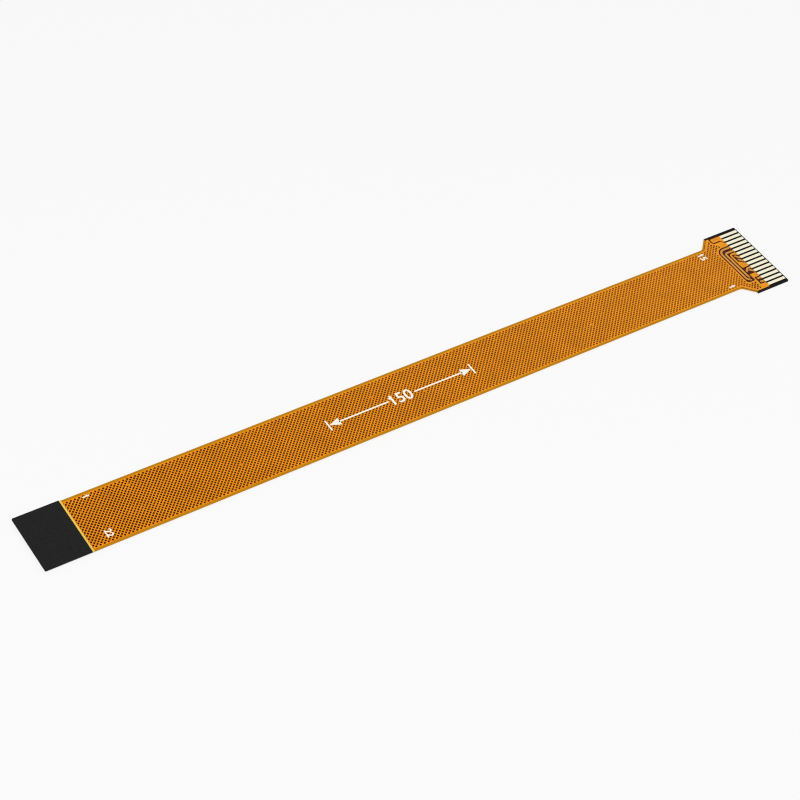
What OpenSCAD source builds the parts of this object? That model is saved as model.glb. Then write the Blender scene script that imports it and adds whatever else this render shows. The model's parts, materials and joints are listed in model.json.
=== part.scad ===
// Flat flex cable: a two-layer flexible printed circuit that joins a 22-way,
// 0.5 mm pitch socket to a 15-way, 1.0 mm pitch socket.
// It lies flat with its length along X. The origin is on the surface that it
// lies on, half way along. The 22-way end is at -X with its contacts facing
// down, and the 15-way end is at +X with its contacts facing up.
// The layers, from below: stiffener and adhesive (15-way end only), coverlay,
// copper, base film, copper, coverlay, adhesive and stiffener (22-way end only).

/* [Cable] */
// Length over both tips
length = 150; // [100:5:300]
// Length of the full-width head of the 15-way end
head_len = 7.5; // [7.2:0.1:8.5]
// Rounding of the four outer corners
tip_r = 0.2; // [0.1:0.05:0.4]
// Rounding of the two inside corners of the neck
neck_r = 1; // [0.4:0.1:2]

/* [22-way end] */
// Distance between two contacts of the 22-way end
fine_pitch = 0.5; // [0.48:0.01:0.56]
// Width of a contact of the 22-way end
fine_finger_w = 0.3; // [0.24:0.02:0.34]
// Bare length of the contacts of the 22-way end
fine_window = 4; // [3:0.25:4.5]
// Length of the stiffener over the 22-way end
fine_stiffener_len = 8; // [6:0.5:12]

/* [15-way end] */
// Distance between two contacts of the 15-way end
coarse_pitch = 1; // [0.98:0.02:1.1]
// Width of a contact of the 15-way end
coarse_finger_w = 0.6; // [0.5:0.05:0.7]
// Bare length of the contacts of the 15-way end
coarse_window = 4.25; // [3.75:0.05:4.3]
// Length of the stiffener under the 15-way end
coarse_stiffener_len = 7.5; // [6.5:0.25:8.5]

/* [Layers] */
// Thickness of the base film
base_t = 0.025; // [0.02:0.005:0.05]
// Thickness of the copper on each side
copper_t = 0.018; // [0.012:0.003:0.035]
// Thickness of a coverlay with its adhesive
coverlay_t = 0.0275; // [0.02:0.0025:0.04]
// Thickness of the nickel and gold on the contacts
plating_t = 0.005; // [0.003:0.001:0.008]
// Thickness of the adhesive that holds a stiffener
adhesive_t = 0.04; // [0.02:0.01:0.06]
// Thickness of the cable at its contacts, with the stiffener
contact_t = 0.3; // [0.27:0.01:0.33]
// Width of the adhesive that shows past the 22-way stiffener
adhesive_bead = 0.25; // [0.1:0.05:0.4]

/* [Copper] */
// Bare film along the long edges
copper_margin = 0.45; // [0.35:0.05:0.6]
// Bare film between the contacts and the tips
tip_margin = 0.2; // [0.1:0.05:0.4]
// Width of the traces on the contact side of the 15-way end
trace_w = 0.4; // [0.3:0.02:0.42]
// Space between those traces and the copper beside them
trace_gap = 0.3; // [0.2:0.02:0.32]
// Width of the signal lines that run the length of the cable
line_w = 0.3; // [0.2:0.02:0.34]
// Space between a signal line and the ground copper
line_gap = 0.1; // [0.06:0.01:0.12]
// Width of a line where it fans out to its via
fan_w = 0.15; // [0.1:0.01:0.16]
// Width of the supply line
supply_w = 1.2; // [0.8:0.05:1.25]

/* [Ground hatch] */
// Distance between the drawn hatch lines of the ground foil
hatch_pitch = 3.2; // [3.2:0.1:6]
// Share of the pitch that a hatch line takes
hatch_share = 0.4; // [0.3:0.05:0.6]
// Solid copper round the hatch
hatch_border = 0.25; // [0.15:0.05:0.5]

/* [Vias] */
// Diameter of a via's hole in the base film
via_hole_d = 0.2; // [0.15:0.01:0.25]
// Diameter of a via's pad
via_pad_d = 0.45; // [0.4:0.01:0.5]
// Thickness of the copper barrel in a via
via_wall = 0.02; // [0.015:0.005:0.03]
// Distance between the ground vias along one strip
ground_via_step = 18; // [12:1:30]

/* [Hidden] */
// The ways and the net list belong together, so they aren't sizes to change.
fine_ways = 22;
coarse_ways = 15;
GROUND_FINE = [1, 4, 7, 10, 13, 16];
SPARE_FINE = [11, 12, 14, 15, 17, 18];
GROUND_COARSE = [1, 4, 13];
ISLET_COARSE = [7, 10];
SUPPLY_COARSE = [14, 15];

// Small round holes and pads are 12-sided.
round_fn = 12;
// A cut or a joined shape runs this far past the edge that it meets.
over = 0.05;

// One pitch more than the spacing of the outer contacts
fine_width = (fine_ways + 1) * fine_pitch;
coarse_width = (coarse_ways + 1) * coarse_pitch;

// Places along X
x_fine = -length / 2;
x_coarse = length / 2;
x_fine_window = x_fine + fine_window;
x_coarse_window = x_coarse - coarse_window;
x_head = x_coarse - head_len;
x_neck = x_head - (coarse_width - fine_width) / 2;

// Heights, from the surface that the cable lies on. Both ends are as thick.
stiffener_t = contact_t - adhesive_t - coverlay_t - 2 * copper_t - base_t - plating_t;
z_adhesive_low = stiffener_t;
z_coverlay_low = z_adhesive_low + adhesive_t;
z_copper_low = z_coverlay_low + coverlay_t;
z_base = z_copper_low + copper_t;
z_copper_top = z_base + base_t;
z_coverlay_top = z_copper_top + copper_t;
z_film_top = z_coverlay_top + coverlay_t;
z_stiffener_top = z_film_top + adhesive_t;

// A contact's place across the cable: pin 1 of the 22-way end is at +Y, and
// pin 1 of the 15-way end is at -Y.
function fine_y(pin) = ((fine_ways + 1) / 2 - pin) * fine_pitch;
function coarse_y(pin) = (pin - (coarse_ways + 1) / 2) * coarse_pitch;

// A place near the 15-way end, by its distance from that tip
function from_tip(distance, y) = [x_coarse - distance, y];

// ---- Outlines and paths ----

function unit(v) = v / norm(v);
function left_of(v) = [-v.y, v.x];
function reversed(list) = [for (i = [len(list) - 1:-1:0]) list[i]];

// The arc of radius r that rounds the corner b between a and c
function corner(a, b, c, r) =
    let (
        u = unit(a - b),
        v = unit(c - b),
        half = acos(u * v) / 2,
        middle = b + unit(u + v) * r / sin(half),
        start = b + u * r / tan(half) - middle,
        sweep = (cross(u, v) > 0 ? -1 : 1) * (180 - 2 * half),
        steps = max(2, ceil(abs(sweep) / 15))
    )
    r <= 0 ? [b] : [for (k = [0:steps])
        let (t = sweep * k / steps)
        middle + [start.x * cos(t) - start.y * sin(t), start.x * sin(t) + start.y * cos(t)]];

// A closed outline with its corners rounded, each by its own radius
function rounded_loop(points, radii) =
    let (n = len(points))
    [for (i = [0:n - 1])
        each corner(points[(i + n - 1) % n], points[i], points[(i + 1) % n], radii[i])];

// An open path with its inner corners rounded, each by its own radius
function bent(path, radii) =
    [path[0],
     for (i = [1:1:len(path) - 2]) each corner(path[i - 1], path[i], path[i + 1], radii[i - 1]),
     path[len(path) - 1]];

// The path moved sideways by d, to its left where d is positive
function beside(path, d) =
    let (
        n = len(path),
        normals = [for (i = [0:n - 2]) left_of(unit(path[i + 1] - path[i]))]
    )
    [for (i = [0:n - 1])
        let (a = normals[max(0, i - 1)], b = normals[min(n - 2, i)])
        path[i] + (a + b) / (1 + a * b) * d];

// A line of width w drawn along a path
module ribbon(path, w) {
    polygon(concat(beside(path, w / 2), reversed(beside(path, -w / 2))));
}

module disc(place, d) {
    translate(place)
        circle(d = d, $fn = round_fn);
}

// A flat layer of thickness t that starts at height z, joined from its outlines
module layer(z, t) {
    for (i = [0:$children - 1])
        translate([0, 0, z])
            linear_extrude(t)
                children(i);
}

// A cut through a layer of thickness t
module through(z, t) {
    layer(z - over, t + 2 * over)
        children();
}

// The film's outline, moved in by the margin m
function film_loop(m = 0) =
    let (
        slope = m * (sqrt(2) - 1),
        fine = fine_width / 2 - m,
        coarse = coarse_width / 2 - m
    )
    rounded_loop(
        [[x_fine + m, -fine], [x_neck + slope, -fine], [x_head + slope, -coarse],
         [x_coarse - m, -coarse], [x_coarse - m, coarse], [x_head + slope, coarse],
         [x_neck + slope, fine], [x_fine + m, fine]],
        [tip_r, neck_r, 0, tip_r, tip_r, 0, neck_r, tip_r]);

// The part of the film's outline between two places along X
module film(from = x_fine - 1, to = x_coarse + 1, m = 0) {
    intersection() {
        polygon(film_loop(m));
        translate([from, -coarse_width])
            square([to - from, 2 * coarse_width]);
    }
}

module finger(from, to, y, w) {
    translate([from, y - w / 2])
        square([to - from, w]);
}

// ---- Copper of the 15-way end, on the contact side ----

// The ground copper stops this far short of the window in the coverlay.
pour_setback = 0.15;
x_pour = x_coarse_window - pour_setback;
// From the middle of a trace to the copper beside it
room = trace_w / 2 + trace_gap;

// The two long traces turn beside the contacts and run to vias near pin 4.
inner_bus = 6.38;
outer_bus = inner_bus + trace_w + trace_gap;
inner_bus_r = 0.45;
outer_bus_r = 1.1;
// Both lean over to their vias on the last part of their way.
bus_lean = 0.5;
inner_lean_r = 0.5;
outer_lean_r = 0.3;
via_11 = from_tip(inner_bus - 0.08, coarse_y(4) + 0.1);
via_12 = from_tip(inner_bus + 0.17, coarse_y(4) - 0.65);
path_11 = bent([[x_coarse_window, coarse_y(11)], from_tip(inner_bus, coarse_y(11)),
                from_tip(inner_bus, via_11.y + bus_lean), via_11], [inner_bus_r, inner_lean_r]);
path_12 = bent([[x_coarse_window, coarse_y(12)], from_tip(outer_bus, coarse_y(12)),
                from_tip(outer_bus, via_12.y + bus_lean), via_12], [outer_bus_r, outer_lean_r]);

// The stubs: pin, distance of the via from the tip, and its step along Y
STUBS = [[2, 5.05, 0.1], [3, 5.05, 0], [5, 4.95, 0.45], [6, 5.7, -0.55], [8, 5.05, 0.6], [9, 5.05, 0.6]];
// A stub that steps slants over on the last part of its way.
stub_slant = 0.55;
function stub(pin) = STUBS[search(pin, STUBS)[0]];
function stub_via(pin) = from_tip(stub(pin)[1], coarse_y(pin) + stub(pin)[2]);
function stub_path(pin) =
    let (
        root = [x_coarse_window, coarse_y(pin)],
        via = stub_via(pin),
        straight = abs(via.y - root.y) < trace_w / 2
    )
    straight ? [root, via] : [root, [min(x_pour, via.x + stub_slant), root.y], via];

// The room of a pair of stubs, from the upper one's far side to the lower one's
function past_via(pin) = concat(stub_path(pin), [stub_via(pin) - [room, 0]]);
function pair_room(upper, lower) =
    concat(beside(past_via(upper), -room), reversed(beside(past_via(lower), room)));

// The well that the long traces, the ground islet and four stubs lie in
well_r = 0.6;
module bus_well() {
    left = outer_bus + room;
    bottom = via_12.y - room;
    right = x_coarse - via_11.x - room;
    polygon(rounded_loop(
        [[x_coarse_window, coarse_y(12) + room], from_tip(left, coarse_y(12) + room),
         from_tip(left, bottom), from_tip(right, bottom),
         from_tip(right, coarse_y(5) - room), [x_coarse_window, coarse_y(5) - room]],
        [0, outer_bus_r + room, well_r, well_r / 2, 0, 0]));
}

// The copper that joins the two supply contacts. Where m is the gap round it,
// this is its room, which runs out past the edge of the ground copper.
island_left = 6.6;
island_step = 5;
island_rise = 0.3;
island_bevel = 0.5;
island_r = 0.35;
module supply_island(m = 0) {
    top = m > 0 ? coarse_width / 2 : coarse_y(15) + coarse_finger_w / 2;
    bottom = coarse_y(14) - coarse_finger_w / 2 - m;
    polygon(rounded_loop(
        [[x_coarse_window + m, top],
         from_tip(island_left + m, top),
         from_tip(island_left + m, coarse_y(14) + island_rise - m),
         from_tip(island_step, coarse_y(14) + island_rise - m),
         from_tip(island_step - island_bevel, bottom),
         [x_coarse_window + m, bottom]],
        [0, m > 0 ? 0 : island_r, island_r + m, 0, 0, 0]));
}

islet_r = 0.6;
module islet_area() {
    left = inner_bus - room;
    polygon(rounded_loop(
        [[x_pour, coarse_y(6) + room], [x_pour, coarse_y(11) - room],
         from_tip(left, coarse_y(11) - room), from_tip(left, coarse_y(6) + room)],
        [0, 0, islet_r, islet_r / 2]));
}

module coarse_finger(pin) {
    finger(x_pour - over, x_coarse - tip_margin, coarse_y(pin), coarse_finger_w);
}

// ---- Vias ----

// A contact of the 22-way end runs on by this much under the coverlay, and
// the ground copper starts this much further on.
lead_in = 0.6;
ground_lead = 0.3;

supply_vias = [from_tip(5.35, coarse_y(15) - 0.15), from_tip(5.95, coarse_y(15) - 0.2)];
islet_vias = [from_tip(5.4, coarse_y(7) + 0.1), from_tip(4.85, coarse_y(7))];
pour_vias = [from_tip(4.65, coarse_y(4)), from_tip(5.2, coarse_y(13) - 0.05)];
// Pin 19 is shut in by the lines beside it, so it has a via of its own.
via_19 = [x_fine_window + lead_in + ground_lead, fine_y(19)];
// Ground vias along the cable, on three strips in turn
strip_via_lead = 2.2;
strip_via_end = 3.5;
first_strip_via = x_fine + fine_stiffener_len + strip_via_lead;
STRIP_PINS = [4, 7, 13];
strip_vias = [for (x = [first_strip_via:ground_via_step / 2:x_neck - strip_via_end])
    let (middle = round((x - first_strip_via) / (ground_via_step / 2)) % 2 == 0)
    each (middle ? [[x, fine_y(STRIP_PINS[1])]]
                 : [[x, fine_y(STRIP_PINS[0])], [x, fine_y(STRIP_PINS[2])]])];
ground_vias = concat([via_19], islet_vias, pour_vias, strip_vias);
signal_vias = concat([via_11, via_12], [for (s = STUBS) stub_via(s[0])]);

module via_holes(vias) {
    for (v = vias)
        disc(v, via_hole_d);
}

module via_pads(vias, d = via_pad_d) {
    for (v = vias)
        disc(v, d);
}

// The copper barrels, from the lower copper's face to the upper one's
module via_barrels(vias) {
    layer(z_copper_low, 2 * copper_t + base_t)
        for (v = vias)
            difference() {
                disc(v, via_hole_d);
                disc(v, via_hole_d - 2 * via_wall);
            }
}

// ---- Lines on the lower side ----

x_lead = x_fine_window + lead_in;
fan_gap = 0.1;
fan_step = fan_w + fan_gap;
pad_step = via_pad_d / 2 + fan_gap + fan_w / 2;

// The two control lines move up, so that the supply line can be wide.
supply_y = -fine_width / 2 + copper_margin + supply_w / 2;
supply_top = supply_y + supply_w / 2;
control_y = [supply_top + 2 * line_gap + line_w * 0.5 + fine_pitch,
             supply_top + 2 * line_gap + line_w * 0.5];

// How each line of the 22-way end reaches its via: its pin, and the points
// from the end of its 45 degree slope on. The lines nest at the same spacing.
pass_y = stub_via(6).y - pad_step;
pass_x = stub_via(3).x - pad_step;
slope_end = 6.3;
control_slope_end = slope_end + 1.1;
via_lead = 0.2;
slope_shift = fan_step * (sqrt(2) - 1);
turn_len = 0.5;
inner_turn_len = turn_len - fan_step * (2 - sqrt(2));
FAN = [
    [2, [from_tip(slope_end, stub_via(9).y), stub_via(9)]],
    [3, [from_tip(slope_end + fan_step * sqrt(2) - (stub_via(9).y - stub_via(8).y), stub_via(8).y),
         stub_via(8)]],
    [5, [from_tip(slope_end, stub_via(6).y), stub_via(6)]],
    [6, [from_tip(slope_end, pass_y), [stub_via(5).x - via_lead, pass_y], stub_via(5)]],
    [8, [from_tip(slope_end + slope_shift, pass_y - fan_step),
         [pass_x + fan_step - turn_len, pass_y - fan_step],
         [pass_x + fan_step, pass_y - fan_step - turn_len],
         [pass_x + fan_step, stub_via(3).y + via_lead], stub_via(3)]],
    [9, [from_tip(slope_end + 2 * slope_shift, pass_y - 2 * fan_step),
         [pass_x - inner_turn_len, pass_y - 2 * fan_step],
         [pass_x, pass_y - 2 * fan_step - inner_turn_len],
         [pass_x, stub_via(2).y + stub_via(3).x - pass_x], stub_via(2)]],
    [20, [from_tip(control_slope_end, via_11.y), via_11]],
    [21, [from_tip(control_slope_end + slope_shift, via_12.y), via_12]]
];
LINE_PAIRS = [[2, 3], [5, 6], [8, 9], [20, 21]];
function fan(pin) = FAN[search(pin, FAN)[0]][1];
function run_y(pin) = pin == 20 ? control_y[0] : pin == 21 ? control_y[1] : fine_y(pin);
function line_via(pin) = fan(pin)[len(fan(pin)) - 1];

// A line leaves its contact, moves over if its run lies elsewhere, and then
// goes straight to the slope that ends at the fan's first point.
control_lead = 0.9;
function slope_start(pin) = [fan(pin)[0].x - abs(fan(pin)[0].y - run_y(pin)), run_y(pin)];
function run_path(pin) =
    let (start = [x_lead - over, fine_y(pin)], step = abs(run_y(pin) - fine_y(pin)))
    step < 0.01
        ? [start, slope_start(pin)]
        : [start, [x_lead + control_lead, fine_y(pin)],
           [x_lead + control_lead + step, run_y(pin)], slope_start(pin)];

// The space between the ground copper above a pair of lines and that below it
module line_room(pair) {
    half = line_w / 2 + line_gap;
    polygon(concat(beside(concat(run_path(pair[0]), fan(pair[0])), half),
                   reversed(beside(concat(run_path(pair[1]), fan(pair[1])), -half))));
}

module fine_finger(pin, to = x_lead) {
    finger(x_fine + tip_margin, to, fine_y(pin), fine_finger_w);
}

// The supply line follows the lower edge, goes round under the 15 contacts
// and comes back to the supply island.
supply_turn = 3;
supply_side = coarse_width / 2 - copper_margin - supply_w / 2;
supply_neck = x_neck + (copper_margin + supply_w / 2) * (sqrt(2) - 1);
supply_path = [[x_lead + control_lead + control_y[0] - fine_y(20) + fine_pitch, supply_y], [supply_neck, supply_y],
               [supply_neck + supply_side + supply_y, -supply_side],
               from_tip(supply_turn, -supply_side), from_tip(supply_turn, supply_side),
               from_tip(island_left - island_r, supply_side)];
// ---- The pieces ----

module base_film() {
    color("#c98a1c")
        layer(z_base, base_t)
            difference() {
                film();
                via_holes(concat(ground_vias, signal_vias, supply_vias));
            }
}

// The hatch is drawn coarser than the real 0.5 mm, which has over 5000 openings.
module hatch_openings() {
    half = hatch_pitch * (1 - hatch_share) / sqrt(2);
    row_step = hatch_pitch / sqrt(2);
    side = fine_width / 2 - copper_margin - hatch_border - half;
    rows = floor(2 * side / row_step) + 1;
    from = x_fine + fine_stiffener_len + adhesive_bead + hatch_border + half;
    to = x_coarse - outer_bus - room - hatch_border - half;
    for (r = [0:rows - 1])
        for (x = [from + (r % 2) * row_step:2 * row_step:to])
            translate([x, (r - (rows - 1) / 2) * row_step])
                circle(half, $fn = 4);
}

module ground_foil_top() {
    color("#d98a2b")
        difference() {
            layer(z_copper_top, copper_t) {
                difference() {
                    film(to = x_pour, m = copper_margin);
                    hatch_openings();
                    bus_well();
                    supply_island(trace_gap);
                    polygon(pair_room(3, 2));
                }
                via_pads(strip_vias);
                for (pin = GROUND_COARSE)
                    coarse_finger(pin);
            }
            through(z_copper_top, copper_t)
                via_holes(concat([via_19], pour_vias, strip_vias));
        }
}

// The ground copper of contacts 7 and 10, which the traces cut off
module ground_islet() {
    color("#d98a2b")
        difference() {
            layer(z_copper_top, copper_t) {
                difference() {
                    islet_area();
                    polygon(pair_room(9, 8));
                }
                for (pin = ISLET_COARSE)
                    coarse_finger(pin);
            }
            through(z_copper_top, copper_t)
                via_holes(islet_vias);
        }
}

module supply_pad() {
    color("#d98a2b")
        difference() {
            layer(z_copper_top, copper_t) {
                supply_island();
                for (pin = SUPPLY_COARSE)
                    coarse_finger(pin);
            }
            through(z_copper_top, copper_t)
                via_holes(supply_vias);
        }
}

// A contact of the 15-way end with its trace and via pad
module contact_trace(pin, path) {
    via = path[len(path) - 1];
    color("#d98a2b")
        difference() {
            layer(z_copper_top, copper_t) {
                coarse_finger(pin);
                ribbon(path, trace_w);
                disc(via, via_pad_d);
            }
            through(z_copper_top, copper_t)
                disc(via, via_hole_d);
        }
}

module trace_11() { contact_trace(11, path_11); }
module trace_12() { contact_trace(12, path_12); }
module stub_2() { contact_trace(2, stub_path(2)); }
module stub_3() { contact_trace(3, stub_path(3)); }
module stub_5() { contact_trace(5, stub_path(5)); }
module stub_6() { contact_trace(6, stub_path(6)); }
module stub_8() { contact_trace(8, stub_path(8)); }
module stub_9() { contact_trace(9, stub_path(9)); }

// The lower ground copper lies between the lines, and its contacts join it.
module ground_foil_bottom() {
    ring_edge = supply_turn + supply_w / 2 + line_gap;
    color("#cf8127")
        difference() {
            layer(z_copper_low, copper_t) {
                film(x_lead + ground_lead, x_coarse - ring_edge, copper_margin);
                for (pin = GROUND_FINE)
                    fine_finger(pin, x_lead + ground_lead + over);
            }
            through(z_copper_low, copper_t) {
                line_room(LINE_PAIRS[0]);
                line_room(LINE_PAIRS[1]);
                line_room(LINE_PAIRS[2]);
                line_room(LINE_PAIRS[3]);
                via_pads(concat([via_19], signal_vias), via_pad_d + 2 * line_gap);
                via_holes(concat(islet_vias, pour_vias, strip_vias));
                ribbon(supply_path, supply_w + 2 * line_gap);
                finger(x_lead, supply_path[0].x + over, fine_y(21), 3 * fine_pitch);
            }
        }
}

// A contact of the 22-way end with its line to the via at the other end
module signal_line(pin) {
    color("#cf8127")
        difference() {
            layer(z_copper_low, copper_t) {
                fine_finger(pin);
                ribbon(run_path(pin), line_w);
                ribbon(concat([slope_start(pin) - [over, 0], slope_start(pin)], fan(pin)), fan_w);
                disc(line_via(pin), via_pad_d);
            }
            through(z_copper_low, copper_t)
                disc(line_via(pin), via_hole_d);
        }
}

module line_2() { signal_line(2); }
module line_3() { signal_line(3); }
module line_5() { signal_line(5); }
module line_6() { signal_line(6); }
module line_8() { signal_line(8); }
module line_9() { signal_line(9); }
module line_20() { signal_line(20); }
module line_21() { signal_line(21); }

module supply_line() {
    color("#cf8127")
        difference() {
            layer(z_copper_low, copper_t) {
                fine_finger(22, supply_path[0].x + over);
                ribbon(supply_path, supply_w);
            }
            through(z_copper_low, copper_t)
                via_holes(supply_vias);
        }
}

// Contacts that the 15-way end has no use for, and pin 19 with its via
module spare_contacts() {
    color("#cf8127")
        difference() {
            layer(z_copper_low, copper_t) {
                for (pin = SPARE_FINE)
                    fine_finger(pin);
                fine_finger(19, via_19.x);
                disc(via_19, via_pad_d);
            }
            through(z_copper_low, copper_t)
                disc(via_19, via_hole_d);
        }
}

module via_barrels_ground() { color("#b87333") via_barrels(ground_vias); }
module via_barrels_signal() { color("#b87333") via_barrels(signal_vias); }
module via_barrels_supply() { color("#b87333") via_barrels(supply_vias); }

// Nickel and gold on the bare part of each contact
module gold_15() {
    color("#f3e3a8")
        layer(z_copper_top + copper_t, plating_t)
            for (pin = [1:coarse_ways])
                finger(x_coarse_window, x_coarse - tip_margin, coarse_y(pin), coarse_finger_w);
}

module gold_22() {
    color("#f3e3a8")
        layer(z_copper_low - plating_t, plating_t)
            for (pin = [1:fine_ways])
                finger(x_fine + tip_margin, x_fine_window, fine_y(pin), fine_finger_w);
}

module coverlay_top() {
    color("#e09a20")
        layer(z_coverlay_top, coverlay_t)
            film(to = x_coarse_window);
}

module coverlay_bottom() {
    color("#e09a20")
        layer(z_coverlay_low, coverlay_t)
            film(from = x_fine_window);
}

module stiffener_22_adhesive() {
    color("#e8b040")
        layer(z_film_top, adhesive_t)
            film(to = x_fine + fine_stiffener_len + adhesive_bead);
}

module stiffener_22() {
    color("#262626")
        layer(z_stiffener_top, stiffener_t)
            film(to = x_fine + fine_stiffener_len);
}

module stiffener_15_adhesive() {
    color("#e8b040")
        layer(z_adhesive_low, adhesive_t)
            film(from = x_coarse - coarse_stiffener_len);
}

module stiffener_15() {
    color("#262626")
        layer(0, stiffener_t)
            film(from = x_coarse - coarse_stiffener_len);
}

// A printed dimension line: an arrow each way between two end bars

base_film();
ground_foil_top();
ground_islet();
supply_pad();
trace_11();
trace_12();
stub_2();
stub_3();
stub_5();
stub_6();
stub_8();
stub_9();
ground_foil_bottom();
line_2();
line_3();
line_5();
line_6();
line_8();
line_9();
line_20();
line_21();
supply_line();
spare_contacts();
via_barrels_ground();
via_barrels_signal();
via_barrels_supply();
gold_15();
gold_22();
coverlay_top();
coverlay_bottom();
stiffener_22();
stiffener_22_adhesive();
stiffener_15();
stiffener_15_adhesive();
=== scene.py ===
"""Dresses the flat flex cable: its foils, films, contacts, printing and stage."""

import json
import math

import bmesh
import bpy
import numpy as np
from mathutils import Matrix, Vector


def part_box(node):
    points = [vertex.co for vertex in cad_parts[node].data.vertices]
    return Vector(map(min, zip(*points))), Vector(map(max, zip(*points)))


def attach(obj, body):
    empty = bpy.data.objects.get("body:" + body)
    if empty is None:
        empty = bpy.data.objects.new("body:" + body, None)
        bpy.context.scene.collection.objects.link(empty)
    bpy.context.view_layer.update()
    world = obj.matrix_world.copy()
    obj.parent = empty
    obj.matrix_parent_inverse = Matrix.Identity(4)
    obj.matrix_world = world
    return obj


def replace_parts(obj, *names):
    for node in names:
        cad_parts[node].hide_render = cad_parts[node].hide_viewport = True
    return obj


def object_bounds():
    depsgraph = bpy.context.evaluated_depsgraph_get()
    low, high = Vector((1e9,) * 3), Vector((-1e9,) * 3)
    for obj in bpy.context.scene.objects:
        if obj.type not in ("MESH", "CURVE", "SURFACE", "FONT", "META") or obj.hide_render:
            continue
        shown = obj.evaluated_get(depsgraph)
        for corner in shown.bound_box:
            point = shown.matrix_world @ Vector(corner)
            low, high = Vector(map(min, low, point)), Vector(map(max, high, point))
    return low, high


bl_info = {
    "name": "Flat flex cable",
    "version": (1, 0, 0),
    "blender": (4, 5, 0),
    "location": "View3D > Sidebar > Flex cable",
    "description": "Etched foils, polyimide films, gold contacts and printing of a flat flex cable",
    "category": "Object",
}

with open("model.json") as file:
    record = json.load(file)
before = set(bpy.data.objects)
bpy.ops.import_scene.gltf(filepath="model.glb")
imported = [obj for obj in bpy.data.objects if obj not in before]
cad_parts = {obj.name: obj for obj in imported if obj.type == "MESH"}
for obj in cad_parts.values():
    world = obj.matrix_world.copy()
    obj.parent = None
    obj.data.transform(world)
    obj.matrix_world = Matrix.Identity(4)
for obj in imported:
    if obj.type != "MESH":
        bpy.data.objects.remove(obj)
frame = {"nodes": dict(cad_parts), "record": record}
CAD_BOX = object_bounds()
MM = 0.001
# Corners nearer than this are one corner.
SAME_PLACE = 1e-7

# ---- Places that come from the solids ----

FILM_LOW, FILM_HIGH = (Vector(c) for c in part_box("base_film"))
COVER_LOW, COVER_HIGH = (Vector(c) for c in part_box("coverlay_top"))
STIFF_HIGH = Vector(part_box("stiffener_22")[1])
FOIL_HIGH = Vector(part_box("ground_foil_top")[1])
# Half the width of the long part and of the head, and how much the neck widens
HALF_FINE = STIFF_HIGH.y
HALF_COARSE = FILM_HIGH.y
HEAD_X = Vector(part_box("stiffener_15")[0]).x
NECK_X = HEAD_X - (HALF_COARSE - HALF_FINE)
# The foils keep this far from the film's edge.
FOIL_MARGIN = FILM_HIGH.y - FOIL_HIGH.y


# ---- Colours, nodes and meshes ----


def colour(hexcode):
    """Turns an sRGB hex value into a linear colour."""
    parts = [int(hexcode.lstrip("#")[i : i + 2], 16) / 255 for i in (0, 2, 4)]
    return tuple(c / 12.92 if c <= 0.04045 else ((c + 0.055) / 1.055) ** 2.4 for c in parts) + (1.0,)


def add(tree, kind, inputs=None, **settings):
    """Adds a node, sets its properties, and gives each input a value or links it to a socket."""
    node = tree.nodes.new(kind)
    for name, value in settings.items():
        setattr(node, name, value)
    for name, value in (inputs or {}).items():
        if isinstance(value, bpy.types.NodeSocket):
            tree.links.new(value, node.inputs[name])
        else:
            node.inputs[name].default_value = value
    return node


def shade(tone, strength=1):
    """A linear colour at this strength, as an input takes it."""
    return (*(strength * c for c in tone), 1)


def ramp(tree, share, low, high, first, last):
    """A tone that runs from the first colour, where the share is low, to the last, where it is high."""
    tone = add(tree, "ShaderNodeValToRGB", {"Fac": share})
    for element, place, mix in zip(tone.color_ramp.elements, (low, high), (first, last)):
        element.position = place
        element.color = mix
    return tone.outputs["Color"]


def blend(tree, share, first, second):
    """The first colour where the share is 0, and the second where it is 1."""
    node = add(tree, "ShaderNodeMix", {"Factor": share, 6: first, 7: second}, data_type="RGBA")
    return node.outputs[2]


def arithmetic(tree, operation, *sides):
    """One step of arithmetic on up to three sides, each a value or a socket."""
    return add(tree, "ShaderNodeMath", dict(enumerate(sides)), operation=operation).outputs["Value"]


def noise(tree, place, scale, **values):
    """Noise over this place, with about this many waves to the metre."""
    names = {name.capitalize(): value for name, value in values.items()}
    return add(tree, "ShaderNodeTexNoise", {"Vector": place, "Scale": scale, **names}).outputs["Fac"]


def end_with(tree, inputs):
    """Ends a material with its shader and its output."""
    shader = add(tree, "ShaderNodeBsdfPrincipled", inputs)
    add(tree, "ShaderNodeOutputMaterial", {"Surface": shader.outputs["BSDF"]})


def new_material(name):
    """An empty node material, ready for a shader and an output."""
    material = bpy.data.materials.new(name)
    material.use_nodes = True
    material.node_tree.nodes.clear()
    return material, material.node_tree


def dress(obj, material):
    """Gives the object this one material."""
    obj.data.materials.clear()
    obj.data.materials.append(material)


def piece_from(bm, name, material):
    """Makes a finished piece of the cable from a bmesh."""
    mesh = bpy.data.meshes.new(name)
    bm.to_mesh(mesh)
    bm.free()
    obj = bpy.data.objects.new(name, mesh)
    bpy.context.scene.collection.objects.link(obj)
    dress(obj, material)
    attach(obj, "root")
    return obj


# ---- Sizes and colours that a user would change ----


def length(name, about, default, low, high):
    """A length for the panel, given in millimetres."""
    return bpy.props.FloatProperty(
        name=name, description=about, default=default * MM, min=low * MM, max=high * MM, precision=6,
        subtype="DISTANCE", unit="LENGTH")


def tint(name, about, code):
    """A colour for the panel, given in hex."""
    return bpy.props.FloatVectorProperty(
        name=name, description=about, default=colour(code)[:3], min=0, max=1, subtype="COLOR")


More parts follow.
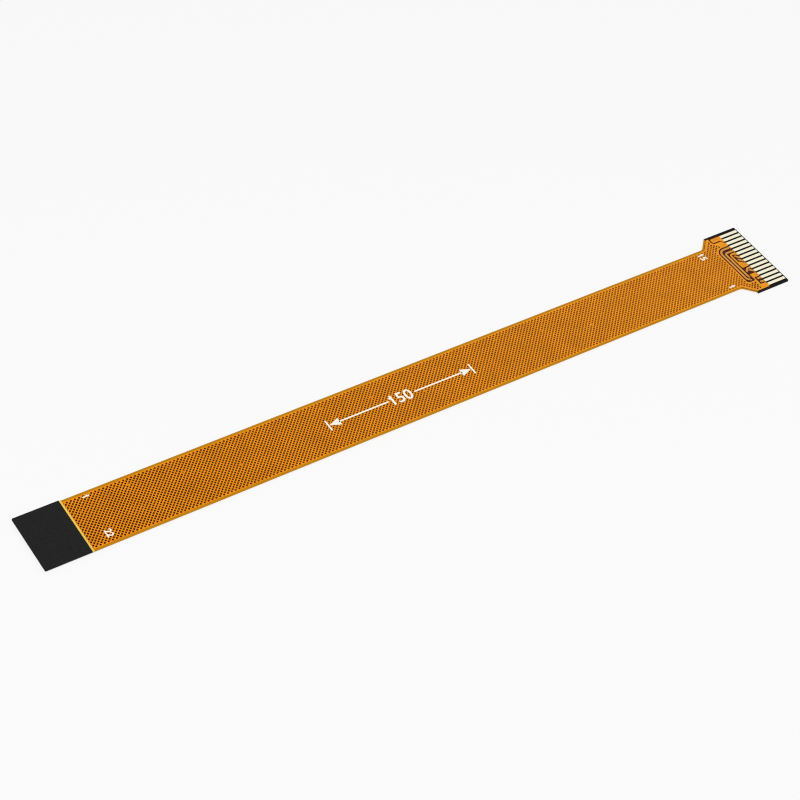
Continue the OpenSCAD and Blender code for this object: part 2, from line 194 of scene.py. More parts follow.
class FoilSettings(bpy.types.PropertyGroup):
    pitch: length(
        "Hatch pitch", "Distance between two lines of the ground foil's hatch",
        0.5, 0.4, 2)
    line: length("Hatch line", "Width of the hatch's lines that run to +X and +Y", 0.19, 0.1, 0.4)
    cross_line: length(
        "Cross line", "Width of the hatch's lines that cross them, which etch thinner",
        0.14, 0.08, 0.4)
    border: length("Border", "Least width of solid copper round the hatch", 0.02, 0.01, 1)
    via_pad: length("Via pad", "Diameter of the solid pad round a via in the hatch", 0.4, 0.3, 0.8)
    via_hole: length("Via hole", "Diameter of the hole inside a via's barrel", 0.16, 0.1, 0.3)
    solid_end: length(
        "Solid end", "Length of the ground foil that is solid behind the 15 contacts",
        1.4, 0.2, 4)
    # The foil's two colours differ by painted light: the drift from one end to the other stands in for
    # how the light falls along the cable.
    colour: tint("Foil", "Colour of the copper under the amber film at the 15-way end", "#F29C1E")
    colour_fine: tint(
        "Foil, narrow end", "Colour of the copper under the amber film at the 22-way end", "#F5930C")
    # The leads' paler colour is a painted highlight along the thin lines.
    colour_leads_highlit: tint("Leads", "Colour of the lone traces and stubs of the head", "#DB9A46")


class FilmSettings(bpy.types.PropertyGroup):
    amber: tint("Amber", "Colour of the films where no copper lies between them", "#C5860A")
    # The film's colour in the openings is the foils' dark bonded side with painted shade of the
    # openings, and the difference between the two ends is painted light.
    dark: tint("Dark", "Colour of the film in the foil's openings at the 15-way end", "#864208")
    dark_fine: tint(
        "Dark, narrow end", "Colour of the film in the foil's openings at the 22-way end", "#1C0800")
    # The bead's bright colour is a painted highlight: the glint on the pressed-out adhesive.
    bead: tint("Bead", "Colour of the adhesive that shows beside the stiffener", "#FFD75A")
    bead_width: length(
        "Bead width", "Width of the adhesive's bead beside the stiffener",
        0.4, 0.3, 0.6)
    bead_height: length("Bead height", "Height of the bead over the film", 0.046, 0.042, 0.1)
    hair: length(
        "Clearance", "Distance of a coverlay's face from the copper that it lies on",
        0.001, 0.0002, 0.003)


class PrintSettings(bpy.types.PropertyGroup):
    ink: length("Ink", "Thickness of the printed ink", 0.012, 0.005, 0.03)
    spread: length("Spread", "How far the ink runs past the edge of a digit", 0.045, 0, 0.08)
    fine_height: length(
        "22-way numbers", "Height of the pin numbers at the 22-way end",
        1.2, 0.8, 2)
    coarse_height: length(
        "15-way numbers", "Height of the pin numbers at the 15-way end",
        1.35, 0.8, 2.5)
    mark_height: length("Mark height", "Height of the length mark's number and end bars", 2.3, 1, 4)
    mark_length: length("Mark length", "Length of the printed length mark", 29.4, 15, 60)
    mark_middle: length(
        "Mark place", "Middle of the length mark, from the 22-way tip",
        68.9, 40, 110)
    stroke: length("Line", "Width of the length mark's printed lines", 0.3, 0.1, 0.5)


class StageSettings(bpy.types.PropertyGroup):
    lens: bpy.props.FloatProperty(
        name="Lens", description="Focal length on a 36 mm wide frame", default=90, min=20, max=300)
    camera: bpy.props.FloatVectorProperty(
        name="Camera", description="Place of the camera",
        default=(-159.23 * MM, -176.59 * MM, 242.37 * MM), subtype="XYZ", unit="LENGTH")
    aim: bpy.props.FloatVectorProperty(
        name="Aim", description="Point on the cable that the camera looks at",
        default=(-6.77 * MM, -0.52 * MM, 0.3 * MM), subtype="XYZ", unit="LENGTH")
    roll: bpy.props.FloatProperty(
        name="Roll", description="Turn of the camera about its own axis",
        default=math.radians(10.2), subtype="ANGLE", unit="ROTATION")
    softness: bpy.props.FloatProperty(
        name="Softness", description="Width of the picture's filter", default=1.15, min=0.5, max=3)
    floor: tint("Floor", "Colour of the floor", "#FBFBFB")


# ---- Materials ----


def object_place(tree):
    """The place on the object, and its X and Y alone."""
    place = add(tree, "ShaderNodeTexCoord").outputs["Object"]
    axes = add(tree, "ShaderNodeSeparateXYZ", {"Vector": place})
    return place, axes.outputs["X"], axes.outputs["Y"]


def painted_light_along_cable(tree, x, fine, coarse):
    """A tone that drifts from one colour at the 22-way end to another at the 15-way end: painted light,
    which stands in for how the light falls along the cable.
    """
    share = add(tree, "ShaderNodeMapRange", {"Value": x, "From Min": STIFF_HIGH.x, "From Max": NECK_X})
    return blend(tree, share.outputs["Result"], shade(fine), shade(coarse))


def etched_copper(name, fine, coarse):
    """Rolled and annealed copper foil, etched to its lines: an orange gleam under the film, with faint
    rolling grain along the web and slow drifts in tone where the lamination varies."""
    material, tree = new_material(name)
    place, x, _ = object_place(tree)
    # Rolling leaves grain about 0.15 mm wide and some 4 mm long.
    along = add(tree, "ShaderNodeMapping", {"Vector": place, "Scale": (250, 6600, 6600)})
    grain = noise(tree, along.outputs["Vector"], 1, detail=3, roughness=0.6)
    # The bond under the film drifts over about 3 mm.
    drift = noise(tree, place, 330, detail=2, roughness=0.5)
    light = add(tree, "ShaderNodeMapRange",
                {"Value": arithmetic(tree, "MULTIPLY_ADD", grain, 0.5, drift),
                 "From Min": 0.45, "From Max": 1.05, "To Min": 0.88, "To Max": 1.1})
    # The drift from end to end is painted light, not a change in the copper.
    tone = add(tree, "ShaderNodeMix",
               {"Factor": 1.0, 6: painted_light_along_cable(tree, x, fine, coarse), 7: light.outputs["Result"]},
               data_type="RGBA", blend_type="MULTIPLY")
    bump = add(tree, "ShaderNodeBump", {"Strength": 0.15, "Distance": 2e-6, "Height": grain})
    end_with(tree, {"Base Color": tone.outputs[2], "Metallic": 0.5, "Roughness": 0.4,
                    "Specular IOR Level": 0.05, "Coat Weight": 0.05, "Coat Roughness": 0.2,
                    "Normal": bump.outputs["Normal"]})
    return material


def base_polyimide():
    """Cast polyimide base film: amber where it is bare on both sides, brown in the foil's openings,
    where the foils' dark bonded side shows through it with painted shade of the openings, and dark over
    the stiffened ends. In the openings it runs from near black at the 22-way end to brown at the 15-way
    end: painted light."""
    material, tree = new_material("polyimide_base_film_cast")
    film = bpy.context.scene.cable_film
    place, x, y = object_place(tree)
    # Half the film's width here, less the distance from its middle line
    half = add(tree, "ShaderNodeMapRange",
               {"Value": x, "From Min": NECK_X, "From Max": HEAD_X, "To Min": HALF_FINE,
                "To Max": HALF_COARSE})
    inside = arithmetic(tree, "SUBTRACT", half.outputs["Result"], arithmetic(tree, "ABSOLUTE", y))
    edge = 0.03 * MM
    bare = add(tree, "ShaderNodeMapRange",
               {"Value": inside, "From Min": FOIL_MARGIN - edge, "From Max": FOIL_MARGIN + edge,
                "To Min": 1.0, "To Max": 0.0}).outputs["Result"]
    # Laminating leaves cloudy streaks about 1 mm across.
    cloud = noise(tree, place, 900, detail=3)
    amber = blend(tree, cloud, shade(film.amber, 0.88), shade(film.amber, 1.1))
    # In the foil's openings the film takes the dark tone: the foils' dark bonded side with painted
    # shade, drifting along the cable as painted light.
    middle = blend(tree, bare, painted_light_along_cable(tree, x, film.dark_fine, film.dark), amber)
    # Over a stiffener it looks reddish brown under the coverlay, and black where it's bare.
    fingers = arithmetic(tree, "GREATER_THAN", x, COVER_HIGH.x)
    black = arithmetic(tree, "MAXIMUM", fingers, bare)
    stiff = blend(tree, black, colour("#4A200E"), colour("#0A0C0E"))
    away = arithmetic(tree, "ABSOLUTE", arithmetic(tree, "SUBTRACT", x, (HEAD_X + STIFF_HIGH.x) / 2))
    backed = arithmetic(tree, "GREATER_THAN", away, (HEAD_X - STIFF_HIGH.x) / 2)
    end_with(tree, {"Base Color": blend(tree, backed, middle, stiff), "Roughness": 0.4, "IOR": 1.5,
                    "Specular IOR Level": 0.05})
    return material


def coverlay_polyimide():
    """Coverlay, a thin polyimide film pressed on over the foils: nearly clear, with a soft sheen that
    follows the lines under it."""
    material, tree = new_material("polyimide_coverlay_laminated")
    place, _, _ = object_place(tree)
    # The film sinks a little between the foil's lines, which are 0.5 mm apart.
    sag = noise(tree, place, 2000, detail=1)
    bump = add(tree, "ShaderNodeBump", {"Strength": 0.2, "Distance": 4e-6, "Height": sag})
    end_with(tree, {"Base Color": colour("#8A4A10"), "Roughness": 0.25, "IOR": 1.5, "Alpha": 0.02,
                    "Normal": bump.outputs["Normal"]})
    return material


def black_stiffener():
    """Black polyimide stiffener sheet, punched: matt, with the faint grey mottling of its filler."""
    material, tree = new_material("black_polyimide_stiffener_punched")
    place, _, _ = object_place(tree)
    # Mottling about 0.4 mm across, and filler grain of some 0.1 mm
    mottle = noise(tree, place, 2500, detail=2)
    grit = noise(tree, place, 9000, detail=2)
    both = arithmetic(tree, "MULTIPLY_ADD", grit, 0.5, mottle)
    tone = ramp(tree, both, 0.5, 1.0, colour("#171717"), colour("#202020"))
    bump = add(tree, "ShaderNodeBump", {"Strength": 0.3, "Distance": 5e-6, "Height": grit})
    end_with(tree, {"Base Color": tone, "Roughness": 0.75, "IOR": 1.5, "Specular IOR Level": 0.1,
                    "Normal": bump.outputs["Normal"]})
    return material


def epoxy_bead():
    """Cured epoxy under the stiffeners: dark where they cover it, and a bright amber line where it was
    pressed out beside the one at the 22-way end, whose brightness is a painted highlight: the glint on
    its fillet."""
    material, tree = new_material("epoxy_adhesive_pressed_out")
    place, x, _ = object_place(tree)
    # Everything within 0.5 mm past the stiffener's edge is the bead.
    reach = 0.25 * MM
    shown = arithmetic(tree, "COMPARE", x, STIFF_HIGH.x + reach, reach)
    # The bead's amber adhesive colour is made bright with a painted highlight for its glint.
    bright = bpy.context.scene.cable_film.bead
    # Flow marks about 0.7 mm across
    flow = noise(tree, place, 1500, detail=2)
    tone = ramp(tree, flow, 0.3, 0.75, shade(bright, 0.82), shade(bright))
    end_with(tree, {"Base Color": blend(tree, shown, colour("#1A1512"), tone), "Roughness": 0.25,
                    "IOR": 1.55, "Specular IOR Level": 0.2})
    return material


def via_resin():
    """Adhesive of the coverlay that has flowed into the vias: dark brown, with cloudy flow marks."""
    material, tree = new_material("via_filled_with_adhesive")
    place, _, _ = object_place(tree)
    # Flow marks about 0.1 mm across
    flow = noise(tree, place, 9000, detail=2)
    tone = ramp(tree, flow, 0.3, 0.7, colour("#5A2E0C"), colour("#8A4C16"))
    end_with(tree, {"Base Color": tone, "Roughness": 0.4, "Specular IOR Level": 0.1})
    return material


def plated_gold():
    """Immersion gold over nickel on the contacts: pale and bright, with fine rubbing marks along."""
    material, tree = new_material("immersion_gold_on_nickel_plated")
    place, _, _ = object_place(tree)
    # Rubbing marks some 0.03 mm wide and 1.5 mm long
    along = add(tree, "ShaderNodeMapping", {"Vector": place, "Scale": (700, 30000, 30000)})
    marks = noise(tree, along.outputs["Vector"], 1, detail=2)
    tone = ramp(tree, marks, 0.3, 0.7, colour("#F3EAC8"), colour("#FFFBE2"))
    gloss = add(tree, "ShaderNodeMapRange", {"Value": marks, "To Min": 0.28, "To Max": 0.42})
    end_with(tree, {"Base Color": tone, "Metallic": 0.3, "Roughness": gloss.outputs["Result"]})
    return material


def screen_ink():
    """White epoxy ink, screen printed: chalky white, a little thin where the mesh held it back."""
    material, tree = new_material("white_epoxy_ink_screen_printed")
    place, _, _ = object_place(tree)
    # A screen with 0.08 mm between its threads
    screen = noise(tree, place, 12000, detail=1)
    tone = ramp(tree, screen, 0.25, 0.6, colour("#FFF3DC"), colour("#FFFCF0"))
    end_with(tree, {"Base Color": tone, "Roughness": 0.6, "IOR": 1.5})
    return material


# ---- The hatched ground foil ----


def rim_loops(bm, top):
    """The closed edge loops round the flat upper face at this height, as lists of vertices."""
    upper = {f for f in bm.faces if all(abs(v.co.z - top) < SAME_PLACE for v in f.verts)}
    rim = [e for e in bm.edges if sum(f in upper for f in e.link_faces) == 1]
    at = {}
    for e in rim:
        for v in e.verts:
            at.setdefault(v, []).append(e)
    loops, left = [], set(rim)
    while left:
        e = left.pop()
        loop = [e.verts[0], e.verts[1]]
        while True:
            nxt = [x for x in at[loop[-1]] if x in left]
            if not nxt:
                break
            left.discard(nxt[0])
            loop.append(nxt[0].other_vert(loop[-1]))
        loops.append(loop[:-1] if loop[0] is loop[-1] else loop)
    return loops


def span(loop):
    """The longer side of a loop's box."""
    xs = [v.co.x for v in loop]
    ys = [v.co.y for v in loop]
    return max(max(xs) - min(xs), max(ys) - min(ys))


def clear_of(points, outline):
    """For each point, its distance to the outline, negative outside it."""
    far = np.full(len(points), 1e9)
    within = np.zeros(len(points), bool)
    ends = np.array([v.co[:2] for v in outline])
    for a, b in zip(ends, np.roll(ends, -1, axis=0)):
        run = b - a
        share = np.clip(((points - a) @ run) / (run @ run), 0, 1)
        far = np.minimum(far, np.hypot(*(points - a - share[:, None] * run).T))
        if a[1] != b[1]:
            crosses = (a[1] > points[:, 1]) != (b[1] > points[:, 1])
            reach = a[0] + (points[:, 1] - a[1]) / (b[1] - a[1]) * run[0]
            within ^= crosses & (points[:, 0] < reach)
    return np.where(within, far, -far)


def hatched_foil(node, settings):
    """The ground foil with its real hatch: the solid's own outline, filled with a 45 degree net."""
    source = bmesh.new()
    source.from_mesh(node.data)
    bmesh.ops.remove_doubles(source, verts=source.verts, dist=SAME_PLACE)
    top = max(v.co.z for v in source.verts)
    thick = top - min(v.co.z for v in source.verts)
    outline = max(rim_loops(source, top), key=span)

    # A square net over the whole foil, turned by 45 degrees. Its pitch changes by a hair, so that whole
    # cells fill the width between the borders.
    bm = bmesh.new()
    width = (HALF_FINE - FOIL_MARGIN - settings.border / 2) * math.sqrt(2)
    pitch = width / round(width / settings.pitch)
    cells = 2 * math.ceil((FILM_HIGH.x + HALF_COARSE) / math.sqrt(2) / pitch)
    bmesh.ops.create_grid(
        bm, x_segments=cells, y_segments=cells, size=cells * pitch / 2,
        matrix=Matrix.Translation((0, 0, top)) @ Matrix.Rotation(math.radians(45), 4, "Z"))
    corners = np.array([v.co[:2] for v in bm.verts])
    free = clear_of(corners, outline) > settings.border / 3
    free &= (corners[:, 0] > STIFF_HIGH.x - pitch) & (corners[:, 0] < COVER_HIGH.x - settings.solid_end)
    gone = [f for f in bm.faces if not all(free[v.index] for v in f.verts)]
    bmesh.ops.delete(bm, geom=gone, context="FACES")
    # No two cells may touch at a corner alone.
    while True:
        pinched = [v for v in bm.verts if sum(e.is_boundary for e in v.link_edges) > 2]
        if not pinched:
            break
        bmesh.ops.delete(bm, geom=[v.link_faces[0] for v in pinched], context="FACES")
    rim = [e for e in bm.edges if e.is_boundary]
    # The outline joins the net through a filled band.
    verts = [bm.verts.new((v.co.x, v.co.y, top)) for v in outline]
    rim += [bm.edges.new((a, b)) for a, b in zip(verts, verts[1:] + verts[:1])]
    net = list(bm.faces)
    bmesh.ops.triangle_fill(bm, use_beauty=True, use_dissolve=False, edges=rim, normal=(0, 0, 1))
    bmesh.ops.inset_individual(bm, faces=net, thickness=settings.line / 2, use_even_offset=True)
    # The openings are a little longer between the cross lines.
    run = Vector((1, 1, 0)).normalized()
    longer = (pitch - settings.cross_line) / (pitch - settings.line) - 1
    for face in net:
        middle = face.calc_center_median()
        for v in face.verts:
            v.co += run * (v.co - middle).dot(run) * longer
    bmesh.ops.delete(bm, geom=net, context="FACES_ONLY")
    slab = bmesh.ops.extrude_face_region(bm, geom=list(bm.faces))
    low = [g for g in slab["geom"] if isinstance(g, bmesh.types.BMVert)]
    bmesh.ops.translate(bm, verts=low, vec=(0, 0, -thick))
    bmesh.ops.recalc_face_normals(bm, faces=bm.faces)
    source.free()
    return bm


def via_places(node):
    """The middle of each via barrel of a node."""
    bm = bmesh.new()
    bm.from_mesh(node.data)
    bmesh.ops.remove_doubles(bm, verts=bm.verts, dist=SAME_PLACE)
    left, places = set(bm.verts), []
    while left:
        island, edge = set(), {left.pop()}
        while edge:
            island |= edge
            edge = {e.other_vert(v) for v in edge for e in v.link_edges} - island
        left -= island
        xs, ys = [v.co.x for v in island], [v.co.y for v in island]
        places.append(((min(xs) + max(xs)) / 2, (min(ys) + max(ys)) / 2))
    bm.free()
    return sorted(places)


def discs(places, diameter, low, high, corners):
    """Flat round slabs at these places."""
    bm = bmesh.new()
    for x, y in places:
        bmesh.ops.create_cone(
            bm, cap_ends=True, segments=corners, radius1=diameter / 2, radius2=diameter / 2,
            depth=high - low, matrix=Matrix.Translation((x, y, (low + high) / 2)))
    return bm


class CABLE_OT_ground_foil(bpy.types.Operator):
    """Etch the upper ground foil with its real hatch"""

    bl_idname = "cable.ground_foil"
    bl_label = "Ground foil"

    def execute(self, context):
        nodes = frame["nodes"]
        settings, hair = context.scene.cable_foil, context.scene.cable_film.hair
        copper = bpy.data.materials["rolled_copper_foil_etched"]
        bm = hatched_foil(nodes["ground_foil_top"], settings)
        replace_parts(piece_from(bm, "ground_foil_hatched", copper), "ground_foil_top")
        # A round pad over each ground via, and the adhesive that has filled every via's hole. Their
        # tops stand a part of the coverlay's clearance over the foil, so no two faces lie in one plane.
        ground = via_places(nodes["via_barrels_ground"])
        pads = discs(ground, settings.via_pad, FILM_HIGH.z, FOIL_HIGH.z + 0.3 * hair, 24)
        piece_from(pads, "via_pads_ground", copper)
        others = [p for n in ("signal", "supply") for p in via_places(nodes["via_barrels_" + n])]
        fill = discs(ground + others, settings.via_hole, FILM_LOW.z, FOIL_HIGH.z + 0.6 * hair, 16)
        piece_from(fill, "via_adhesive", via_resin())
        return {"FINISHED"}


class CABLE_OT_copper(bpy.types.Operator):
    """Finish the contacts' leads, traces, lines and vias as etched copper"""

    bl_idname = "cable.copper"
    bl_label = "Copper"

    def execute(self, context):
        foil = context.scene.cable_foil
        copper = etched_copper("rolled_copper_foil_etched", foil.colour_fine, foil.colour)
        # The lone leads of the head show paler: their colour carries a painted highlight along their
        # thin lines.
        leads = etched_copper("rolled_copper_leads_etched", foil.colour_leads_highlit, foil.colour_leads_highlit)
        for name, node in frame["nodes"].items():
            if frame_slot(name) == "copper":
                dress(node, leads if name.startswith(("trace_", "stub_")) else copper)
        return {"FINISHED"}


def frame_slot(node):
    """The record's material slot of a CAD node."""
    return {s["node"]: s["material_slot"] for s in frame["record"]["subparts"]}[node]


def laminated_film(name, copper_face, clear):
    """A coverlay as its solid has it, whose face on the copper stands clear of it by a hair."""
    bm = bmesh.new()
    bm.from_mesh(frame["nodes"][name].data)
    bmesh.ops.remove_doubles(bm, verts=bm.verts, dist=SAME_PLACE)
    touching = [v for v in bm.verts if abs(v.co.z - copper_face) < SAME_PLACE]
    bmesh.ops.translate(bm, verts=touching, vec=(0, 0, clear))
    bmesh.ops.recalc_face_normals(bm, faces=bm.faces)
    return bm


def bead_ridge(film):
    """The adhesive pressed out beside the 22-way stiffener: a low half-round ridge across the film."""
    bm = bmesh.new()
    bmesh.ops.create_cone(
        bm, cap_ends=True, segments=24, radius1=1, radius2=1, depth=1,
        matrix=Matrix.Translation((STIFF_HIGH.x + film.bead_width / 2, 0, COVER_HIGH.z))
        @ Matrix.Diagonal((film.bead_width / 2, 2 * HALF_FINE, film.bead_height, 1))
        @ Matrix.Rotation(math.radians(90), 4, "X"))
    bmesh.ops.bisect_plane(bm, geom=bm.verts[:] + bm.edges[:] + bm.faces[:], dist=SAME_PLACE,
                           plane_co=(0, 0, COVER_HIGH.z), plane_no=(0, 0, 1), clear_inner=True)
    bmesh.ops.remove_doubles(bm, verts=bm.verts, dist=SAME_PLACE)
    bmesh.ops.holes_fill(bm, edges=bm.edges)
    bmesh.ops.recalc_face_normals(bm, faces=bm.faces)
    return bm


class CABLE_OT_films(bpy.types.Operator):
    """Finish the base film, the two coverlays and the stiffeners"""

    bl_idname = "cable.films"
    bl_label = "Films"

    def execute(self, context):
        nodes = frame["nodes"]
        dress(nodes["base_film"], base_polyimide())
        coverlay = coverlay_polyimide()
        under = Vector(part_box("coverlay_bottom")[1]).z
        film = context.scene.cable_film
        bm = laminated_film("coverlay_top", COVER_LOW.z, film.hair)
        upper = piece_from(bm, "coverlay_upper", coverlay)
        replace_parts(upper, "coverlay_top")
        bm = laminated_film("coverlay_bottom", under, -film.hair)
        lower = piece_from(bm, "coverlay_lower", coverlay)
        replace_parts(lower, "coverlay_bottom")
        black = black_stiffener()
        for name in ("stiffener_22", "stiffener_15"):
            dress(nodes[name], black)
        epoxy = epoxy_bead()
        piece_from(bead_ridge(film), "adhesive_bead", epoxy)
        for name in ("stiffener_22_adhesive", "stiffener_15_adhesive"):
            dress(nodes[name], epoxy)
        return {"FINISHED"}


class CABLE_OT_gold(bpy.types.Operator):
    """Plate the bare contacts at both ends"""

    bl_idname = "cable.gold"
    bl_label = "Gold"

    def execute(self, context):
        gold = plated_gold()
        for name in ("gold_15", "gold_22"):
            dress(frame["nodes"][name], gold)
        return {"FINISHED"}


# ---- Printing ----


# A digit's height as a share of the font's size
DIGIT_SHARE = 0.72
# Sizes of the length mark's arrows and of the gap beside its number, as shares of the mark's height
ARROW_LENGTH, ARROW_HALF, NUMBER_GAP = 0.9, 0.35, 0.25
# Length and width of the flag of a 1, as shares of its height
FLAG_LENGTH, FLAG_WIDTH = 0.34, 0.17
# Text, height, and place in millimetres from the 22-way tip and the middle line, of each pin number
PIN_NUMBERS = {
    "pin_1_of_22": ("1", "fine_height", 12.2, 4.7),
    "pin_22_of_22": ("22", "fine_height", 12.0, -3.5),
    "pin_15_of_15": ("15", "coarse_height", 139.0, 4.05),
    "pin_1_of_15": ("1", "coarse_height", 139.0, -4.6),
}


def number_mesh(text, height, settings, place, turn):
    """A printed number as a thin closed mesh, its digits this high, centred on place."""
    curve = bpy.data.curves.new("number", "FONT")
    curve.body = text
    curve.align_x = "CENTER"
    curve.size = height / DIGIT_SHARE
    curve.extrude = settings.ink / 2
    curve.offset = settings.spread
    curve.resolution_u = 4
    obj = bpy.data.objects.new("number", curve)
    bpy.context.scene.collection.objects.link(obj)
    mesh = bpy.data.meshes.new_from_object(obj.evaluated_get(bpy.context.evaluated_depsgraph_get()))
    bpy.data.objects.remove(obj)
    bm = bmesh.new()
    bm.from_mesh(mesh)
    bpy.data.meshes.remove(mesh)
    bpy.data.curves.remove(curve)
    bmesh.ops.remove_doubles(bm, verts=bm.verts, dist=SAME_PLACE)
    ys = [v.co.y for v in bm.verts]
    xs = [v.co.x for v in bm.verts]
    tall = max(ys) - min(ys)
    middle = Vector(((max(xs) + min(xs)) / 2, (max(ys) + min(ys)) / 2, 0))
    if text[0] == "1":
        # The font's 1 is a bare stem, so it gets a slanted flag at its top left, which stands a little
        # over the stem, so that no two faces lie in one plane.
        long, wide = FLAG_LENGTH * tall, FLAG_WIDTH * tall
        flag = Matrix.Translation((min(xs) + wide / 2, max(ys) - wide, 0)) @ Matrix.Rotation(
            math.radians(40), 4, "Z") @ Matrix.Translation((-long / 2 + wide / 2, 0, 0))
        bmesh.ops.create_cube(
            bm, size=1, matrix=flag @ Matrix.Diagonal((long, wide, 1.1 * settings.ink, 1)))
    bmesh.ops.translate(bm, verts=bm.verts, vec=-middle)
    bmesh.ops.scale(bm, verts=bm.verts, vec=(height / tall, height / tall, 1))
    bmesh.ops.rotate(bm, verts=bm.verts, cent=(0, 0, 0), matrix=Matrix.Rotation(turn, 3, "Z"))
    bmesh.ops.translate(bm, verts=bm.verts, vec=(place[0], place[1], COVER_HIGH.z + settings.ink / 2))
    return bm


def length_mark(settings, middle):
    """The plain length mark: the number 150 between two arrows that end at bars."""
    bm = number_mesh("150", settings.mark_height, settings, (middle, 0.0), 0.0)
    half_number = max(v.co.x for v in bm.verts) - middle
    height = COVER_HIGH.z + settings.ink / 2
    arrow_long, arrow_wide = ARROW_LENGTH * settings.mark_height, ARROW_HALF * settings.mark_height
    for side in (-1, 1):
        end = middle + side * settings.mark_length / 2
        bar = (end - side * settings.stroke / 2, settings.stroke, settings.mark_height)
        first = middle + side * (half_number + NUMBER_GAP * settings.mark_height)
        # The line runs on into the arrow's head.
        last = end - side * (settings.stroke + 0.9 * arrow_long)
        line = ((first + last) / 2, abs(last - first), settings.stroke)
        for x, long, wide in (bar, line):
            bmesh.ops.create_cube(
                bm, size=1, matrix=Matrix.Translation((x, 0, height))
                @ Matrix.Diagonal((long, wide, settings.ink, 1)))
        head = bmesh.ops.create_cone(
            bm, cap_ends=True, segments=3, radius1=1, radius2=1, depth=settings.ink)["verts"]
        bmesh.ops.rotate(bm, verts=head, cent=(0, 0, 0),
                         matrix=Matrix.Rotation(-side * math.pi / 2, 3, "Z"))
        # A triangle of radius 1 is 1.5 long and twice the cosine of 30 degrees wide.
        bmesh.ops.scale(bm, verts=head,
                        vec=(arrow_long / 1.5, arrow_wide / math.cos(math.radians(30)), 1))
        nose = end - side * settings.stroke
        point = max(side * v.co.x for v in head)
        bmesh.ops.translate(bm, verts=head, vec=(nose - side * point, 0, height))
    bmesh.ops.recalc_face_normals(bm, faces=bm.faces)
    return bm


class CABLE_OT_printing(bpy.types.Operator):
    """Print the pin numbers and the plain length mark"""

    bl_idname = "cable.printing"
    bl_label = "Printing"

    def execute(self, context):
        settings = context.scene.cable_print
        ink = screen_ink()
        tip = FILM_LOW.x
        for name, (text, size, x, y) in PIN_NUMBERS.items():
            place = (tip + x * MM, y * MM)
            bm = number_mesh(text, getattr(settings, size), settings, place, -math.pi / 2)
            piece_from(bm, "printed_" + name, ink)
        bm = length_mark(settings, tip + settings.mark_middle)
        piece_from(bm, "printed_length_mark", ink)
        return {"FINISHED"}


# ---- Stage ----

# The share of the floor's looks that is its own white; the rest is lit, and takes the shadow.
PAPER_GLOW = 0.8
ROOM_LIGHT = 0.4
FLOOR_HALF = 3.0
# Name, place and diameter in metres, and power in watts of each round lamp
LAMPS = (("key", (-0.35, -0.25, 0.75), 0.6, 3.7), ("fill", (0.45, -0.45, 0.6), 0.6, 2.0))


def seen_rays(tree):
    """1 for the rays that show the backdrop: the camera's, mirrored ones and those through glass."""
    rays = add(tree, "ShaderNodeLightPath").outputs
    mirrored = arithmetic(tree, "MAXIMUM", rays["Is Glossy Ray"], rays["Is Transmission Ray"])
    return arithmetic(tree, "MAXIMUM", rays["Is Camera Ray"], mirrored)


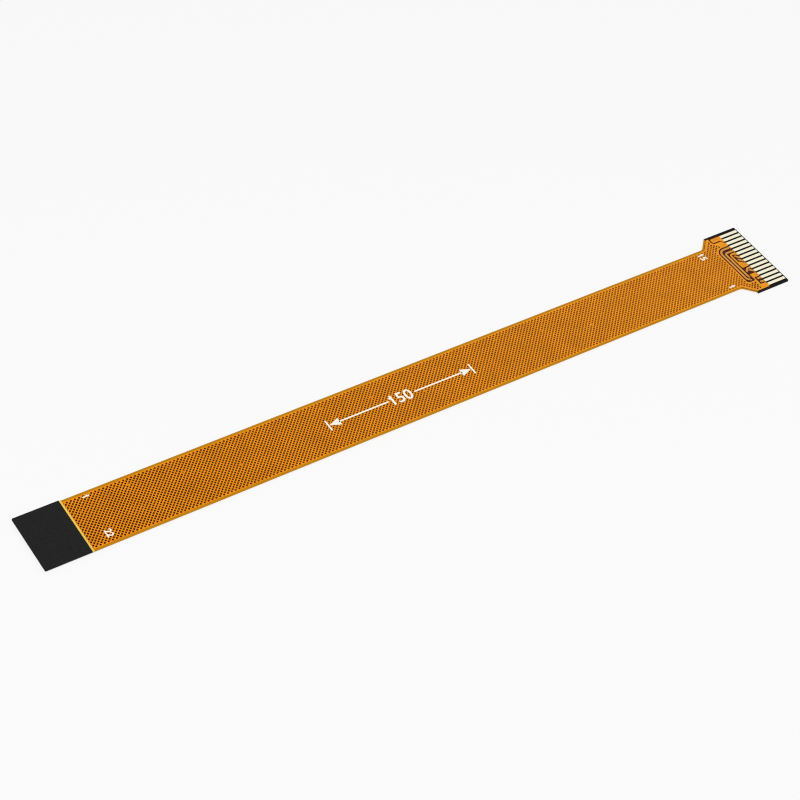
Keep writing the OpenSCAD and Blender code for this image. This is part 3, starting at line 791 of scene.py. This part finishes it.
class CABLE_OT_stage(bpy.types.Operator):
    """Set the floor, the lamps and the camera"""

    bl_idname = "cable.stage"
    bl_label = "Stage"

    def execute(self, context):
        scene = context.scene
        settings = scene.cable_stage
        scene.view_settings.view_transform = "Standard"
        # The hatch is fine, so the picture is kept crisp and the denoiser's guide isn't smoothed first.
        scene.cycles.filter_width = settings.softness
        scene.cycles.denoising_prefilter = "NONE"

        floor_colour = shade(settings.floor)
        material, tree = new_material("white_paper_sweep")
        # The paper shows white and still takes a faint shadow: a fifth of what is seen is lit paper.
        sweep = add(tree, "ShaderNodeBsdfDiffuse", {"Color": floor_colour})
        glow = add(tree, "ShaderNodeEmission", {"Color": floor_colour, "Strength": 1.0})
        white = arithmetic(tree, "MULTIPLY", seen_rays(tree), PAPER_GLOW)
        both = add(tree, "ShaderNodeMixShader",
                   {0: white, 1: sweep.outputs["BSDF"], 2: glow.outputs["Emission"]})
        add(tree, "ShaderNodeOutputMaterial", {"Surface": both.outputs["Shader"]})
        bm = bmesh.new()
        bmesh.ops.create_grid(bm, x_segments=1, y_segments=1, size=FLOOR_HALF,
                              matrix=Matrix.Translation((0, 0, CAD_BOX[0].z - 0.01 * MM)))
        mesh = bpy.data.meshes.new("floor")
        bm.to_mesh(mesh)
        bm.free()
        floor = bpy.data.objects.new("floor", mesh)
        scene.collection.objects.link(floor)
        dress(floor, material)

        world = bpy.data.worlds.new("soft_studio")
        world.use_nodes = True
        world.node_tree.nodes.clear()
        tree = world.node_tree
        room = add(tree, "ShaderNodeBackground", {"Color": (1, 1, 1, 1), "Strength": ROOM_LIGHT})
        back = add(tree, "ShaderNodeBackground", {"Color": floor_colour, "Strength": 1.0})
        mixed = add(tree, "ShaderNodeMixShader",
                    {0: seen_rays(tree), 1: room.outputs["Background"], 2: back.outputs["Background"]})
        add(tree, "ShaderNodeOutputWorld", {"Surface": mixed.outputs["Shader"]})
        scene.world = world

        for name, place, size, power in LAMPS:
            light = bpy.data.lights.new(name, "AREA")
            light.shape = "DISK"
            light.size = size
            light.energy = power
            lamp = bpy.data.objects.new(name, light)
            lamp.location = place
            lamp.rotation_euler = (-Vector(place)).to_track_quat("-Z", "Y").to_euler()
            scene.collection.objects.link(lamp)

        data = bpy.data.cameras.new("camera")
        data.lens = settings.lens
        data.sensor_width = 36
        data.clip_start = 0.01
        camera = bpy.data.objects.new("camera", data)
        line = Vector(settings.aim) - Vector(settings.camera)
        camera.location = settings.camera
        turn = line.to_track_quat("-Z", "Y") @ Matrix.Rotation(settings.roll, 3, "Z").to_quaternion()
        camera.rotation_euler = turn.to_euler()
        scene.collection.objects.link(camera)
        scene.camera = camera
        return {"FINISHED"}


class CABLE_PT_pieces(bpy.types.Panel):
    """The cable's pieces in the order in which they are made"""

    bl_label = "Flex cable"
    bl_space_type = "VIEW_3D"
    bl_region_type = "UI"
    bl_category = "Flex cable"

    def draw(self, context):
        for operator in OPERATORS:
            self.layout.operator(operator.bl_idname)
        for group in ("cable_foil", "cable_film", "cable_print", "cable_stage"):
            settings = getattr(context.scene, group)
            for name in settings.bl_rna.properties.keys():
                if name not in ("rna_type", "name"):
                    self.layout.prop(settings, name)


GROUPS = {
    "cable_foil": FoilSettings,
    "cable_film": FilmSettings,
    "cable_print": PrintSettings,
    "cable_stage": StageSettings,
}
OPERATORS = (CABLE_OT_copper, CABLE_OT_ground_foil, CABLE_OT_films, CABLE_OT_gold, CABLE_OT_printing,
             CABLE_OT_stage)


def register():
    for group in GROUPS.values():
        bpy.utils.register_class(group)
    for cls in OPERATORS + (CABLE_PT_pieces,):
        bpy.utils.register_class(cls)
    for name, group in GROUPS.items():
        setattr(bpy.types.Scene, name, bpy.props.PointerProperty(type=group))


def unregister():
    for name in GROUPS:
        delattr(bpy.types.Scene, name)
    for cls in reversed(OPERATORS + (CABLE_PT_pieces,)):
        bpy.utils.unregister_class(cls)
    for group in GROUPS.values():
        bpy.utils.unregister_class(group)


def main():
    """Makes every piece and the stage."""
    register()
    bpy.ops.cable.copper()
    bpy.ops.cable.ground_foil()
    bpy.ops.cable.films()
    bpy.ops.cable.gold()
    bpy.ops.cable.printing()
    bpy.ops.cable.stage()


if __name__ == "__main__":
    main()
